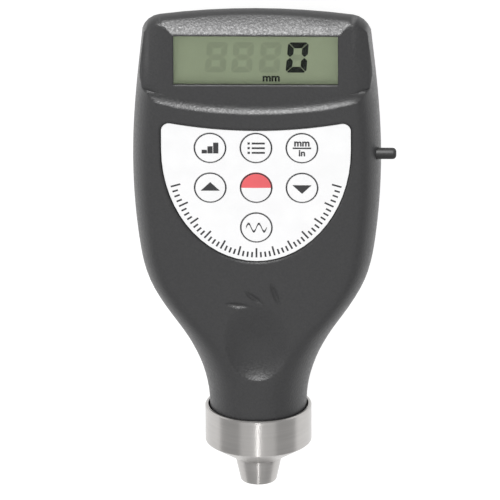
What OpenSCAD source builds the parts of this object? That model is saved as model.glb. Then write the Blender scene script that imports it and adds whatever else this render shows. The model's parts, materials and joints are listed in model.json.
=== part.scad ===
// Hand-held ultrasonic thickness gauge, lying on its back.
// X runs across the case, Y from the probe's contact face to the display end, Z out of the front face.
// The probe's axis is the Y axis.

/* [Case] */
// Length from the contact face to the display end
overall_len = 133.4; // [130:0.2:140]
// Widest width of the case
case_w = 65; // [62:0.5:70]
// Distance from the display end to the widest place
widest_in = 41.4; // [36:0.2:46]
// Height of the front face above the probe axis
front_h = 13; // [12.5:0.1:14.5]
// Depth of the back below the probe axis
back_h = 14; // [14:0.1:16]
// Wall thickness of both shells
wall = 2; // [1.6:0.1:2.4]
// Width of the rounding between front face and sides
shoulder = 7.5; // [6:0.5:9]
// Squareness of the rounding, 2 is an ellipse
shoulder_power = 2.4; // [2:0.1:3]
// Width the sides run out to at the display end
end_w = 58.2; // [56:0.2:62]
// Radius of the crowned display end
end_crown_r = 190; // [120:10:400]
// Radius of the display end's corners
end_corner_r = 5.5; // [3:0.5:7]
// Height above the probe axis at which the display end bends back
end_bend_z = 3.6; // [2:0.2:6]
// Radius of that bend
end_bend_r = 3; // [2.4:0.2:6]
// Angle at which the end leans in behind the bend
end_lean = 26; // [22:1:30]
// Radius between the leaning end and the flat back
end_foot_r = 4; // [2.4:0.2:6]
// Width of the seam between the two shells
seam_w = 0.5; // [0.3:0.1:0.8]
// Depth of the seam
seam_depth = 0.3; // [0.2:0.1:0.5]

/* [Neck] */
// Place where the neck starts to widen
neck_y = 22; // [21.6:0.2:25]
// Width at the flank, the steepest part of the outline
flank_w = 43.2; // [40:0.2:46]
// Place of the flank
flank_y = 46.5; // [44:0.5:48]
// Width at the hip, where the outline turns towards the sides
hip_w = 55; // [53:0.2:57]
// Place of the hip
hip_y = 56; // [53:0.5:58]
// Width where the sides begin
side_w = 61.4; // [60:0.2:62]
// Place where the sides begin
side_y = 67; // [64:0.5:70]

/* [Thumb scoop and grooves] */
// Radius of the scoop's lower rim
scoop_r = 8.8; // [8:0.2:11]
// Place of the rim's centre
scoop_y = 41.2; // [41:0.2:44]
// Length over which the scoop runs out towards the keypad
scoop_run = 14; // [12:0.5:16]
// Depth of the scoop
scoop_depth = 2.3; // [1.5:0.1:3]
// How far the deepest point lies from the rim's centre towards the probe
scoop_lean = 1; // [0:0.2:2]
// How softly the scoop runs out towards the keypad, 0 is sharp
scoop_soft = 0.8; // [0:0.1:1.5]
// Length of a leaf-shaped grip groove
groove_len = 7.6; // [5:0.2:9]
// Width of a grip groove
groove_w = 1.4; // [0.8:0.1:2]
// Depth of a grip groove below the front face
groove_depth = 0.5; // [0.4:0.1:0.7]
// Place along the case of the middle groove's lower point
groove_y = 53.5; // [52:0.1:55]
// Distance from the case's middle to that point
groove_x = 2.5; // [0:0.1:4]
// Distance between the grooves' lower points
groove_pitch = 3.7; // [3:0.1:6]
// Direction of the middle groove, 90 is along the case
groove_turn = 142; // [90:1:150]
// Angle between the grooves
groove_fan = 31; // [0:1:34]

/* [Display hood] */
// How far the hood lies below the front face
hood_drop = 1.2; // [0.8:0.1:1.6]
// Distance from the display end to the hood's curved lower edge
hood_in = 26; // [25.4:0.1:26.9]
// Radius of the hood's lower edge
hood_edge_r = 125; // [90:5:200]
// Corner radius of the hood's lower edge
hood_corner_r = 6; // [4:0.5:8]
// Width of the slope from the hood up to the front face
ledge_w = 2.6; // [1.6:0.1:3]
// Width of the rounding beside the hood, which is sharper than the rest
hood_shoulder = 1.5; // [1:0.1:3]
// Half of the hood's flat width
hood_flat = 22.6; // [22:0.2:24]
// Radius of the rounded hood beside its flat
hood_side_r = 15; // [12:0.5:24]
// Wall of the hood
hood_wall = 2.4; // [2.2:0.1:2.8]
// Angle of the bevel between window and display end
bevel_angle = 35; // [25:1:42]
// Distance from window to bevel
bevel_gap = 0.3; // [0.2:0.1:0.8]
// How far the bevel's ends spread for each millimetre of its width
bevel_splay = 0.9; // [0.4:0.1:1.2]

/* [Display] */
// Width of the window's opening
window_w = 42.9; // [40:0.1:43.5]
// Height of the window's opening
window_h = 13.5; // [12:0.1:14]
// Distance from the display end to the window's middle
window_in = 11.5; // [10.8:0.1:11.8]
// Width of the lip that the lens is glued behind
lens_seat = 0.5; // [0.4:0.1:0.8]
// Thickness of the lens
lens_t = 0.8; // [0.6:0.1:1]
// Depth of the lens's face below the hood
lens_drop = 0.8; // [0.5:0.1:1]
// Width of the display glass
lcd_w = 45; // [44:0.2:45.4]
// Height of the display glass
lcd_h = 15; // [14.8:0.1:15.2]
// How far the glass sits below the window's middle
lcd_shift = 0.6; // [0.4:0.1:0.8]
// Thickness of the display glass
lcd_t = 2.6; // [2:0.1:3]
// Width of a contact strip
strip_w = 2; // [1.6:0.1:2.4]
// Distance from a contact strip's end to the glass's side
strip_in = 1; // [0.5:0.1:2]

/* [Keypad] */
// Width of the keypad overlay
label_w = 49.5; // [46:0.5:50.5]
// Length of the overlay along its middle
label_len = 36.3; // [35.5:0.1:37]
// Length of the overlay's curved lower part
label_curve = 31; // [28:0.5:32]
// Distance from the display end to the overlay's top at its middle
label_in = 30.7; // [30:0.1:31.2]
// Radius of the overlay's top edge
label_top_r = 125; // [90:5:200]
// Corner radius of the overlay
label_corner_r = 2; // [1:0.2:3]
// Thickness of the overlay
label_t = 0.5; // [0.3:0.05:0.6]
// Depth of the pocket below the front face
pocket_depth = 0.8; // [0.65:0.05:0.9]
// Chamfer of the pocket's rim
pocket_edge = 0.25; // [0.1:0.05:0.4]
// Gap between the overlay and the pocket's wall
label_gap = 0.35; // [0.2:0.05:0.5]
// Diameter of a key
key_d = 8.3; // [7:0.1:8.6]
// Distance between key columns
key_pitch_x = 12; // [11.6:0.1:12.4]
// Distance between key rows
key_pitch_y = 11.1; // [10.9:0.1:11.4]
// Distance from the overlay's top to the middle key row
key_row_in = 15.8; // [15.4:0.1:16.2]
// Travel of a key
key_travel = 0.3; // [0.2:0.05:0.35]
// Diameter of a key's flange under the wall
key_flange_d = 10; // [9.4:0.1:10.4]
// Thickness of a key's flange
key_flange_t = 1; // [0.8:0.1:1.2]
// Diameter of a key's stem
key_stem_d = 2.8; // [2.4:0.1:3]
// Height of a key's crowned face above the overlay
key_crown = 0.15; // [0.1:0.05:0.2]
// Chamfer of a key's face
key_edge = 0.2; // [0.1:0.05:0.3]
// Length of stem inside its switch
stem_in = 1; // [0.8:0.1:1.4]

/* [Circuit board] */
// Depth of the board's upper face below the front face
board_drop = 8.8; // [8.6:0.1:9]
// Thickness of the board
board_t = 1.6; // [1.2:0.1:1.6]
// Place of the board's lower end
board_y = 38; // [37:0.5:42]
// Room between board and shell
board_gap = 1.4; // [1:0.1:2]
// Side of a key switch
switch_w = 6; // [5:0.1:6.5]
// Height of a key switch
switch_h = 3.5; // [3.2:0.1:3.6]
// Side of the processor
chip_w = 10; // [7:0.5:12]
// Thickness of the chips
chip_t = 1.4; // [1:0.1:1.6]
// Number of legs on each side of the processor
chip_legs = 8; // [4:1:10]
// Distance from the board's lower end to the processor
chip_in = 28; // [26:0.5:30]
// Width of the amplifier
amp_w = 4; // [3:0.5:6]
// Length of the amplifier
amp_len = 6; // [5:0.5:8]
// Distance from the board's lower end to the amplifier
amp_in = 13; // [11:0.5:16]
// Width and thickness of a chip's leg
leg_w = 0.4; // [0.3:0.05:0.5]
// Length of a chip's leg
leg_len = 1.2; // [0.8:0.1:1.6]
// Diameter of the quartz can's round ends
can_d = 3.4; // [3:0.1:4.5]
// Distance between the quartz can's round ends
can_run = 5; // [4:0.5:7]
// Height of the quartz can
can_h = 2.5; // [2:0.1:3.5]
// Distance from the board's lower end to the quartz can
can_in = 30; // [28:0.5:32]
// Distance from the board's middle to the quartz can
can_x = 11; // [10.5:0.5:14]

/* [Side jack] */
// Distance from the display end to the jack
jack_in = 39; // [37.4:0.2:40.4]
// Height of the jack's axis above the board
jack_axis_h = 2.6; // [2.4:0.1:2.8]
// Distance from the case's inner side to the jack
jack_back = 2.5; // [2.3:0.1:3]
// Width of the jack
jack_w = 6; // [5:0.2:7]
// Length of the jack
jack_len = 9; // [8:0.2:10]
// Wall of the jack over its bore
jack_roof = 0.8; // [0.6:0.1:1]
// Diameter of the plug
plug_d = 3; // [2.5:0.1:3.4]
// Length of plug outside the case
plug_out = 4.1; // [3:0.1:5]
// Length of plug inside the jack
plug_in = 6; // [4:0.2:7]
// Rounding of the plug's outer end
plug_edge = 1; // [0.2:0.1:1.2]

/* [Probe] */
// Diameter of the contact face
tip_d = 9.5; // [8.6:0.1:11]
// Diameter of the tip where it meets the collar
tip_root_d = 12.3; // [11.6:0.1:13]
// Length of the tip outside the collar
tip_len = 6.75; // [5:0.25:8]
// Diameter of the sleeve inside the collar
sleeve_d = 11.6; // [11:0.1:12]
// Thickness of the sleeve's flange
flange_t = 1.2; // [1:0.1:2]
// Length of the sleeve behind its flange
sleeve_tail = 4; // [3:0.5:6]
// Chamfer of the contact face
tip_edge = 0.3; // [0.1:0.05:0.5]
// Diameter of the sound blocks
element_d = 7.3; // [6:0.1:7.6]
// Length of the sound blocks
delay_len = 10.5; // [9:0.1:11]
// Thickness of the barrier between the sound blocks
barrier_t = 0.5; // [0.3:0.1:0.8]
// Thickness of the crystals
crystal_t = 0.4; // [0.3:0.05:0.6]
// How much smaller the crystals are than the sound blocks
crystal_step = 0.8; // [0.4:0.1:1.2]
// Length of the backing behind the crystals
backing_len = 7; // [5:0.5:7]
// Diameter of a probe lead
lead_d = 1; // [0.8:0.1:1.2]
// Distance between the probe leads
lead_pitch = 3.2; // [2.4:0.1:4]
// Length of lead under the board
lead_run = 6; // [4:0.5:10]

/* [Collar] */
// Diameter of the collar
collar_d = 28; // [27.6:0.1:28]
// Length of the collar's cylinder
collar_len = 10.1; // [9:0.1:11]
// Length of the collar's cone
cone_len = 4.65; // [4:0.05:5.5]
// Thickness of the collar's floor behind the cone
collar_floor = 1.8; // [1.4:0.1:2.2]
// Wall of the collar round the neck
collar_wall = 0.8; // [0.6:0.1:1.2]
// Gap between collar and neck
neck_gap = 0.45; // [0.2:0.05:0.5]
// Chamfer of the collar's edges
collar_edge = 0.3; // [0.1:0.05:0.4]

/* [Battery bay] */
// Diameter of a cell
cell_d = 10.5; // [10.1:0.1:10.5]
// Length of a cell with its nub
cell_len = 44.5; // [43.5:0.1:44.5]
// Length of a cell's nub
cell_nub = 1; // [0.8:0.1:1.2]
// Diameter of a cell's nub
nub_d = 3.8; // [3.4:0.1:4.2]
// Rounding of a cell's ends
cell_edge = 0.5; // [0.3:0.1:0.8]
// Distance between cells
cell_pitch = 10.8; // [10.7:0.1:11]
// Length of a pressed contact spring
spring_len = 4; // [3:0.1:4.5]
// Wire of a contact spring
spring_wire = 0.7; // [0.5:0.1:0.8]
// Radius of a contact spring at its plate
spring_base_r = 3.4; // [3:0.1:3.8]
// Radius of a contact spring at its cell
spring_top_r = 2; // [1.6:0.1:2.6]
// Thickness of a contact plate
plate_t = 0.4; // [0.3:0.1:0.5]
// Height of a contact plate
plate_h = 8; // [7:0.5:9]
// Distance between contact plates
plate_gap = 1.6; // [1.2:0.1:2]
// Wall beside the cells
bay_wall = 1.6; // [1.2:0.1:2]
// Wall beyond the cells' ends
bay_end_wall = 1.5; // [1.2:0.1:2]
// Height of the bay's walls above the cells' middle
bay_rise = 3; // [2:0.5:4]
// Distance from the display end to the bay
bay_end = 8.5; // [8:0.1:9.5]
// Width of the door's outer plate
door_w = 43.8; // [43.6:0.1:44.2]
// Thickness of the door's outer plate
door_t = 1.4; // [1.3:0.1:1.6]
// How far a door tongue reaches under its rail
tongue = 1.5; // [1:0.1:1.6]
// Thickness of a door tongue
tongue_t = 1; // [0.8:0.1:1.2]
// Thickness of the rail above the tongue
rail_t = 1.2; // [1:0.1:1.6]
// Wall of the rail beside the tongue
rail_wall = 1.8; // [1.4:0.1:2]
// Distance from the bay to the door's lower edge
door_lap = 1; // [0.6:0.1:1.6]
// Number of thumb grooves on the door
door_grooves = 5; // [3:1:7]
// Length of a thumb groove
door_groove_len = 14; // [8:1:20]
// Width of a thumb groove
door_groove_w = 1.1; // [0.8:0.1:1.4]
// Depth of a thumb groove
door_groove_depth = 0.5; // [0.3:0.1:0.8]
// Distance between the thumb grooves
door_groove_pitch = 2.2; // [1.8:0.1:3]
// Distance from the door's lower edge to its first thumb groove
door_groove_in = 5; // [3:0.5:8]

/* [Fasteners] */
// Shank diameter of a case screw
case_screw_d = 2.2; // [1.8:0.1:2.4]
// Head diameter of a case screw
case_head_d = 4.2; // [3.8:0.1:4.4]
// Head height of a case screw
case_head_h = 1.6; // [1.2:0.1:2]
// Depth below the probe axis at which a case screw's head seats
case_seat = 6; // [5:0.5:7]
// Length of a case screw in the front shell
case_grip = 5.6; // [5:0.1:5.8]
// Distance from the middle to the screws beside the scoop
hip_screw_x = 17; // [15:0.5:19]
// Distance from the hip towards the probe to those screws
hip_screw_in = 3; // [1:0.5:5]
// Distance from the middle to the screws beside the display
end_screw_x = 26.6; // [26.2:0.1:26.8]
// Distance from the display end to those screws
end_screw_in = 12.4; // [11:0.2:16]
// Shank diameter of a board screw
board_screw_d = 1.8; // [1.6:0.1:2]
// Head diameter of a board screw
board_head_d = 3.6; // [3.2:0.1:3.8]
// Head height of a board screw
board_head_h = 1.2; // [0.8:0.1:1.4]
// Length of a board screw
board_screw_len = 5; // [4.4:0.1:5.4]
// Distance from the middle to the board screws beside the scoop
low_screw_x = 12.5; // [11:0.5:14]
// Distance from the hip to those screws
low_screw_in = 3; // [2:0.5:5]
// Distance from the middle to the board screws beside the keys
key_screw_x = 24.6; // [24:0.1:25]
// Distance from the middle key row to those screws
key_screw_in = 4.9; // [4:0.1:6]
// Chamfer of a screw's head
screw_edge = 0.3; // [0.2:0.1:0.4]
// How far a boss reaches into the wall over it
boss_root = 0.6; // [0.4:0.1:0.8]
// Wall of a screw boss
boss_wall = 1.4; // [1.2:0.1:1.5]

/* [Fits] */
// Gap round a fixed piece in its seat
seat_gap = 0.1; // [0.05:0.05:0.15]
// Gap round a boss that passes the board
boss_gap = 0.3; // [0.2:0.1:0.5]
// Gap between stacked pieces of the probe, and over a key's flange
face_gap = 0.05; // [0.02:0.01:0.08]
// Gap round a key in its hole
key_gap = 0.15; // [0.1:0.05:0.2]
// Gap round the sliding door
door_gap = 0.15; // [0.1:0.05:0.2]
// Gap round the plug in the jack
plug_gap = 0.08; // [0.05:0.01:0.1]

/* [Hidden] */
$fn = 64;
skin_step = 2.4;
room_step = 3.4;
skin_points = 12;
back_points = 9;
room_points = 6;
eps = 0.02;
over = 1;
far = 20;

collar_bore_r = collar_d / 2 - collar_wall;
neck_r = collar_bore_r - neck_gap;
flange_r = neck_r - neck_gap;
cone_y = tip_len + cone_len;
collar_end_y = cone_y + collar_len;
floor_y = cone_y + collar_floor;
neck_start_y = floor_y + flange_t;

widest_y = overall_len - widest_in;
hood_y = overall_len - hood_in;
hood_z = front_h - hood_drop;
window_y = overall_len - window_in;
lens_top_z = hood_z - lens_drop;
lens_z = lens_top_z - lens_t;
seat_w = window_w + 2 * lens_seat;
seat_h = window_h + 2 * lens_seat;
bevel_y = window_y + window_h / 2 + bevel_gap;
roof_z = front_h - wall;
hood_roof_z = hood_z - hood_wall;
neck_roof_z = front_h - wall - scoop_depth;

label_top_y = overall_len - label_in;
label_y = label_top_y - label_len;
key_row_y = label_top_y - key_row_in;
key_end_y = key_row_y - key_pitch_y - key_flange_d / 2;
pocket_z = front_h - pocket_depth;
label_z = pocket_z + label_t;
board_z = front_h - board_drop;
board_under_z = board_z - board_t;
switch_z = board_z + switch_h;
flange_top_z = roof_z - face_gap;
flange_z = flange_top_z - key_flange_t;
stem_z = switch_z - stem_in;
stem_well_z = stem_z - key_travel - key_gap;

lcd_top_z = hood_roof_z - seat_gap;
lcd_z = lcd_top_z - lcd_t;
strip_y = lcd_h / 2 - strip_w / 2;

jack_y = overall_len - jack_in;
jack_z = board_z + jack_axis_h;
jack_bore_r = plug_d / 2 + plug_gap;

groove_z = -back_h + door_t;
tongue_z = groove_z + door_gap;
groove_top_z = tongue_z + tongue_t + door_gap;
bay_floor_z = groove_top_z + rail_t;
cell_z = groove_top_z + seat_gap + cell_d / 2;
bay_half = 2 * cell_pitch + seat_gap;
bay_y1 = overall_len - bay_end;
bay_y0 = bay_y1 - cell_len - spring_len - 2 * plate_t - 2 * seat_gap;
bay_top_z = cell_z + bay_rise;
door_y = bay_y0 - door_lap;
rail_half = door_w / 2 + tongue + rail_wall;
frame_y = door_y - wall;

crystal_y = delay_len + crystal_t;
backing_y = crystal_y + backing_len;
case_seat_z = -case_seat;
key_white = [0.96, 0.96, 0.97];
case_grey = [0.22, 0.22, 0.23];
cell_grey = [0.35, 0.37, 0.42];

// Stations of the outline: place, half width, slope
side_line = [
    [neck_y, neck_r, 0],
    [flank_y, flank_w / 2, 0.7],
    [hip_y, hip_w / 2, 0.5],
    [side_y, side_w / 2, 0.15],
    [widest_y, case_w / 2, 0],
    [overall_len, end_w / 2, -0.1]
];
front_line = [[neck_y, neck_r, 0], [flank_y, front_h, 0]];
back_line = [[neck_y, neck_r, 0], [flank_y, back_h, 0]];
shoulder_line = [[neck_y, neck_r, 0], [side_y, shoulder, 0]];
hood_shoulder_line = concat(shoulder_line, [
    [hood_y + hood_corner_r / 2, shoulder, 0],
    [hood_y + 2 * hood_corner_r, hood_shoulder, 0]
]);
power_line = [[neck_y, 2, 0], [side_y, shoulder_power, 0]];
roof_line = [
    [neck_y, neck_roof_z, 0],
    [scoop_y + scoop_run - wall, neck_roof_z, 0],
    [key_end_y - wall, roof_z, 0],
    [hood_y - ledge_w, roof_z, 0],
    [hood_y, hood_roof_z, 0],
    [overall_len, hood_roof_z, 0]
];

jack_x = half_width(jack_y) - wall - jack_back;
plug_x = half_width(jack_y) + plug_out;

key_rows = [
    [-1, 1], [0, 1], [1, 1],
    [-1, 0], [0, 0], [1, 0],
    [0, -1]
];
key_places = [for (k = key_rows) [k.x * key_pitch_x, key_row_y + k.y * key_pitch_y]];
hip_screws = [for (s = [-1, 1]) [s * hip_screw_x, hip_y - hip_screw_in]];
end_screws = [for (s = [-1, 1]) [s * end_screw_x, overall_len - end_screw_in]];
case_screws_at = concat(hip_screws, end_screws);
board_screws_at = [for (s = [-1, 1]) each [
    [s * low_screw_x, hip_y + low_screw_in],
    [s * key_screw_x, key_row_y - key_screw_in]
]];

// Curves

// Cubic between two stations of place, value and slope
function cubic(a, b, y) =
    let (run = b[0] - a[0], t = (y - a[0]) / run, s = 1 - t)
    a[1] * (1 + 2 * t) * s * s + b[1] * t * t * (3 - 2 * t)
    + run * t * s * (a[2] * s - b[2] * t);

// Value of a line of stations at a place, held beyond its ends
function along(line, y) =
    let (
        last = len(line) - 1,
        place = min(max(y, line[0][0]), line[last][0]),
        i = min(last - 1, max([for (k = [0:last]) if (place >= line[k][0]) k]))
    )
    cubic(line[i], line[i + 1], place);

function half_width(y) = along(side_line, y);

// Places from a to b in even steps no longer than step
function steps(a, b, step) =
    let (n = ceil((b - a) / step))
    [for (i = [0:n]) a + (b - a) * i / n];

// Points of an arc in the plane
function arc(centre, r, from, to, n) =
    [for (i = [0:n]) let (t = from + (to - from) * i / n) centre + r * [cos(t), sin(t)]];

function flip(points) = [for (i = [len(points) - 1:-1:0]) points[i]];

// All points but the first, so that two curves join in one point
function rest(points) = [for (i = [1:len(points) - 1]) points[i]];

// Half of a case section: flat at z = 0, square-shouldered above it
function half_section(w, h, corner, power, n) =
    let (
        a = min(corner, w - 0.2),
        right = [for (i = [0:n])
            let (t = 90 * i / n)
            [w - a + a * pow(cos(t), 2 / power), h * pow(sin(t), 2 / power)]]
    )
    concat(right, [for (p = flip(right)) [-p.x, p.y]]);

// Solid through rings of equally many points
module loft(rings) {
    n = len(rings[0]);
    m = len(rings);
    polyhedron(
        points = [for (r = rings) each r],
        faces = concat(
            [[for (i = [n - 1:-1:0]) i]],
            [for (j = [0:m - 2], i = [0:n - 1])
                let (a = j * n + i, b = j * n + (i + 1) % n)
                each [[a, b, a + n], [b, b + n, a + n]]],
            [[for (i = [0:n - 1]) (m - 1) * n + i]]
        ),
        convexity = 6
    );
}

// Turns a revolved or extruded shape from Z to the probe axis
module to_y() {
    rotate([-90, 0, 0]) children();
}

// Turns a profile drawn as x, z into a bar along Y
module bar(y0, y1) {
    translate([0, y1, 0])
        rotate([90, 0, 0])
            linear_extrude(y1 - y0)
                children();
}

// Case outline

// Places of the sections along a line of stations, and past both its ends
function section_places(line, step, before, after) =
    concat(
        [line[0][0] - before],
        [for (i = [0:len(line) - 2])
            let (s = steps(line[i][0], line[i + 1][0], step))
            each [for (k = [0:len(s) - 2]) s[k]]],
        [overall_len, overall_len + after]
    );

// Front half of the case: its outer skin
module front_half() {
    loft([for (y = section_places(side_line, skin_step, neck_y - neck_start_y, far))
        [for (p = half_section(half_width(y), along(front_line, y), along(hood_shoulder_line, y),
                along(power_line, y), skin_points))
            [p.x, y, p.y]]]);
}

// Front half of the case: the room under its roof
module front_hollow() {
    loft([for (y = section_places(roof_line, room_step, neck_y - neck_start_y + over, far))
        [for (p = half_section(half_width(y) - wall, along(roof_line, y), along(shoulder_line, y) - wall,
                along(power_line, y), room_points))
            [p.x, y, p.y]]]);
}

// Back half of the case, its skin moved in by inset
module back_half(inset, n) {
    places = section_places(side_line, room_step, neck_y - neck_start_y + (inset > 0 ? over : 0), far);
    loft([for (y = places)
        [for (p = flip(half_section(half_width(y) - inset, along(back_line, y) - inset,
                along(shoulder_line, y) - inset, along(power_line, y), n)))
            [p.x, y, -p.y]]]);
}

// Right half of the display end from above: round corner and crown, its middle at end_y
function end_curve(inset, end_y) =
    let (
        crown = end_crown_r - inset,
        corner = max(face_gap, end_corner_r - inset),
        sag = pow(end_w / 2, 2) / (2 * end_crown_r),
        half = half_width(end_y + inset - sag - end_corner_r) - inset + face_gap,
        crown_y = end_y - crown,
        corner_y = crown_y + sqrt(pow(crown - corner, 2) - pow(half - corner, 2)),
        lean = atan((half - corner) / (corner_y - crown_y))
    )
    concat(
        arc([half - corner, corner_y], corner, 0, 90 - lean, 5),
        rest(arc([0, crown_y], crown, 90 - lean, 90, 4))
    );

// Right half of an outline and its mirror image, which share the last point
function both_sides(right) = concat(right, [for (i = [len(right) - 2:-1:0]) [-right[i].x, right[i].y]]);

// Outline of the case from above, moved in by inset, its end at end_y
module case_plan(inset, end_y) {
    end = end_curve(inset, end_y);
    places = steps(neck_start_y - wall, end[0].y - end_corner_r / 2, skin_step);
    sides = [for (y = places) [half_width(y) - inset, y]];
    polygon(both_sides(concat(sides, end)));
}

// Side view of the display end as places and heights: upright, leaning in behind a bend, round at the foot
function end_profile(inset) =
    let (
        bend_y = overall_len - end_bend_r,
        foot_z = end_foot_r - back_h,
        foot_y = bend_y + (end_bend_r - end_foot_r + (foot_z - end_bend_z) * sin(end_lean)) / cos(end_lean)
    )
    concat(
        [[overall_len - inset, front_h + far]],
        arc([bend_y, end_bend_z], end_bend_r - inset, 0, -end_lean, 3),
        arc([foot_y, foot_z], end_foot_r - inset, -end_lean, -90, 4)
    );

// Room inside the display end, moved in by inset; its sides lie outside the case
module end_trim(inset) {
    loft([for (e = end_profile(inset))
        let (end = end_curve(inset, e[0]), sides = [[case_w, 0], [case_w, end[0].y]])
        [for (p = both_sides(concat(sides, end))) [p.x, p.y, e[1]]]]);
}

// Groove round the case where the two shells meet
module seam() {
    end_y = overall_len - end_bend_r + end_bend_r / cos(end_lean) - end_bend_z * tan(end_lean);
    translate([0, 0, -seam_w / 2])
        linear_extrude(seam_w)
            difference() {
                case_plan(-seam_w, end_y + seam_w);
                case_plan(seam_depth, end_y - seam_depth);
            }
}

// Display hood

// Outline of the hood from above, its lower edge moved out by grow; its sides lie outside the case
function hood_outline(grow) =
    let (
        edge = hood_edge_r + grow,
        corner = hood_corner_r + grow,
        half = half_width(hood_y + hood_corner_r) + face_gap,
        edge_y = hood_y + hood_edge_r,
        corner_y = edge_y - sqrt(pow(edge - corner, 2) - pow(half - corner, 2)),
        lean = atan((half - corner) / (edge_y - corner_y)),
        right = concat(
            [[half, overall_len + far]],
            arc([half - corner, corner_y], corner, 0, lean - 90, 10),
            rest(arc([0, edge_y], edge, lean - 90, -90, 8))
        )
    )
    both_sides(right);

// Room over the hood, its edge rising ever more steeply to the front face
module hood_room() {
    rings = concat(
        [[-hood_z / 2, -ledge_w]],
        [for (t = [0:0.125:1]) [hood_drop * t * t, ledge_w * (t - 1)]],
        [[hood_drop + over, 0]]
    );
    loft([for (r = rings) [for (p = hood_outline(r[1])) [p.x, p.y, hood_z + r[0]]]]);
}

// Room over the hood's rounded face
module above_hood_face() {
    side = arc([hood_flat, hood_z - hood_side_r], hood_side_r, 90, 20, 10);
    rim = concat([[side[10].x, front_h + far]], flip(side));
    bar(hood_y - far, overall_len + far)
        polygon(concat(rim, [for (p = flip(rim)) [-p.x, p.y]]));
}

// Room over the bevel between window and display end, with slanted ends
module bevel_room() {
    run = overall_len + wall - bevel_y;
    half = window_w / 2 + bevel_gap;
    top = front_h + wall;
    drop = run * tan(bevel_angle);
    loft([for (s = [[0, 0, 0], [run, run * bevel_splay, drop]])
        let (z = hood_z - s[2], rise = top - z, x = half + s[1], y = bevel_y + s[0])
        [[x, y, z], [x + rise, y, top], [-x - rise, y, top], [-x, y, z]]]);
}

// Outside of the front housing
module front_skin() {
    difference() {
        intersection() {
            front_half();
            end_trim(0);
        }
        intersection() {
            hood_room();
            above_hood_face();
        }
        bevel_room();
    }
}

// Inside of the front housing
module front_room() {
    intersection() {
        front_hollow();
        end_trim(wall);
    }
}

// Reach of the scoop in a direction: its rim's radius, or its run towards the keypad
function scoop_reach(a) = scoop_r + (scoop_run - scoop_r) * pow(max(0, sin(a)), 2);

// Ring of the scoop at a share of its reach; it meets the face sharply below and ever more softly above
function scoop_ring(share) =
    [for (a = [0:12:348])
        let (reach = share * scoop_reach(a), soft = 1 + scoop_soft * pow((1 + sin(a)) / 2, 2))
        [reach * cos(a), scoop_y - scoop_lean * (1 - share * share) + reach * sin(a),
            front_h - scoop_depth * pow(1 - share * share, soft)]];

// Thumb scoop, a bowl that is deepest near its lower rim
module scoop() {
    rim = scoop_ring(1);
    loft(concat(
        [[for (p = rim) [p.x, p.y, front_h + over]]],
        [for (share = [1, 0.96, 0.9, 0.82, 0.72, 0.6, 0.46, 0.3, 0.12]) scoop_ring(share)]
    ));
}

// Spindle along X from its point at the origin; sunk into the face it leaves a leaf-shaped groove
module grip_spindle() {
    r = (pow(groove_w / 2, 2) + pow(groove_depth, 2)) / (2 * groove_depth);
    half = groove_len / 2 / sqrt(groove_depth / r);
    translate([groove_len / 2, 0, front_h - groove_depth + r])
        rotate([0, 90, 0])
            rotate_extrude($fn = 24)
                polygon([for (t = [-1:0.25:1]) [r * (1 - t * t), half * t]]);
}

module grip_grooves() {
    for (s = [-1, 0, 1])
        translate([groove_x + s * groove_pitch, groove_y, 0])
            rotate([0, 0, groove_turn - s * groove_fan])
                grip_spindle();
}

// Outline of the overlay, grown by grow
function label_outline(grow) =
    let (
        half = label_w / 2 + grow,
        centre_y = label_y + label_curve,
        top_y = label_top_y + label_top_r,
        corner = label_corner_r + grow,
        edge = label_top_r - grow,
        corner_y = top_y - sqrt(pow(edge + corner, 2) - pow(half - corner, 2)),
        lean = atan((half - corner) / (top_y - corner_y)),
        lower = [for (t = [0:6:90]) [half * cos(t), centre_y - (label_curve + grow) * sin(t)]],
        upper = concat(
            arc([half - corner, corner_y], corner, 0, 90 + lean, 8),
            rest(arc([0, top_y], edge, lean - 90, -90, 8))
        ),
        right = concat(flip(lower), upper)
    )
    concat(right, [for (i = [len(right) - 2:-1:1]) [-right[i].x, right[i].y]]);

// Pocket for the overlay, with a chamfered rim
module pocket() {
    rim = label_gap + pocket_edge;
    rings = [[front_h + over, rim], [front_h, rim],
        [front_h - pocket_edge, label_gap], [pocket_z, label_gap]];
    loft([for (r = rings) [for (p = label_outline(r[1])) [p.x, p.y, r[0]]]]);
}

module key_holes(z, h) {
    for (p = key_places)
        translate([p.x, p.y, z])
            cylinder(d = key_d + 2 * key_gap, h = h);
}

// Rectangle centred on the window
module window_box(w, h, z, t) {
    translate([-w / 2, window_y - h / 2, z])
        cube([w, h, t]);
}

// Screw bosses of the front housing, from z up into its wall
module bosses(places, hole_d, z, top) {
    for (p = places)
        translate([p.x, p.y, z])
            cylinder(d = hole_d + 2 * boss_wall, h = top - z);
}

module pilots(places, hole_d, z, h) {
    for (p = places)
        translate([p.x, p.y, z])
            cylinder(d = hole_d + seat_gap, h = h, $fn = 32);
}

module front_housing() {
    color(case_grey)
    difference() {
        union() {
            difference() {
                front_skin();
                front_room();
            }
            bosses(hip_screws, case_screw_d, 0, neck_roof_z + boss_root);
            bosses(end_screws, case_screw_d, 0, hood_roof_z - boss_root);
            bosses(board_screws_at, board_screw_d, board_z, roof_z + boss_root);
        }
        seam();
        pilots(case_screws_at, case_screw_d, -eps, case_grip + 2 * seat_gap);
        pilots(board_screws_at, board_screw_d, board_z - eps, board_screw_len - board_t + boss_root);
        pocket();
        key_holes(roof_z - over, wall + 2 * over);
        window_box(window_w, window_h, hood_roof_z - over, far);
        window_box(seat_w, seat_h, hood_roof_z - over, lens_top_z - hood_roof_z + over);
        translate([jack_x, jack_y, jack_z])
            rotate([0, 90, 0])
                cylinder(r = jack_bore_r, h = far);
        scoop();
        grip_grooves();
    }
}

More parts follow.
